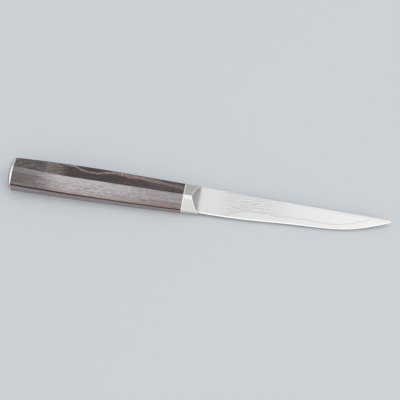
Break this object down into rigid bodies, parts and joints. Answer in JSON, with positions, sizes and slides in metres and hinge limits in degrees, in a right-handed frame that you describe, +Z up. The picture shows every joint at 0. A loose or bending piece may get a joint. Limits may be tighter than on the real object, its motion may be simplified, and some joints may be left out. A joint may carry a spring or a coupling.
{
  "type": "boning knife",
  "caption": "Boning knife with a narrow layered-steel blade, a scooped steel bolster, a faceted dark wooden handle and a domed steel end cap, lying on its side.",
  "frame": {"origin": "on the table, under the middle of the knife's box, with the knife lying on its left lower handle facet", "axes": "+X along the knife towards the tip, +Y towards the spine side, +Z up, out of the right face"},
  "size_m": [0.3006, 0.0268, 0.0184],
  "materials": {
    "core_steel": "fine satin, bright at the edge",
    "layered_steel": "etched layered steel with fine wavy lines",
    "satin_steel": "satin",
    "dark_wood": "oiled, striped dark grain",
    "plain_steel": "turned",
    "adhesive": "cured epoxy"
  },
  "bodies": {
    "root": {"blade_core": "core_steel", "blade_cladding_right": "layered_steel", "blade_cladding_left": "layered_steel", "bolster": "satin_steel", "handle_grip": "dark_wood", "end_cap": "satin_steel", "tang_rod": "plain_steel", "bedding_adhesive": "adhesive", "tang_washer": "plain_steel", "tang_nut": "plain_steel", "cap_pins": "plain_steel"}
  },
  "joints": []
}
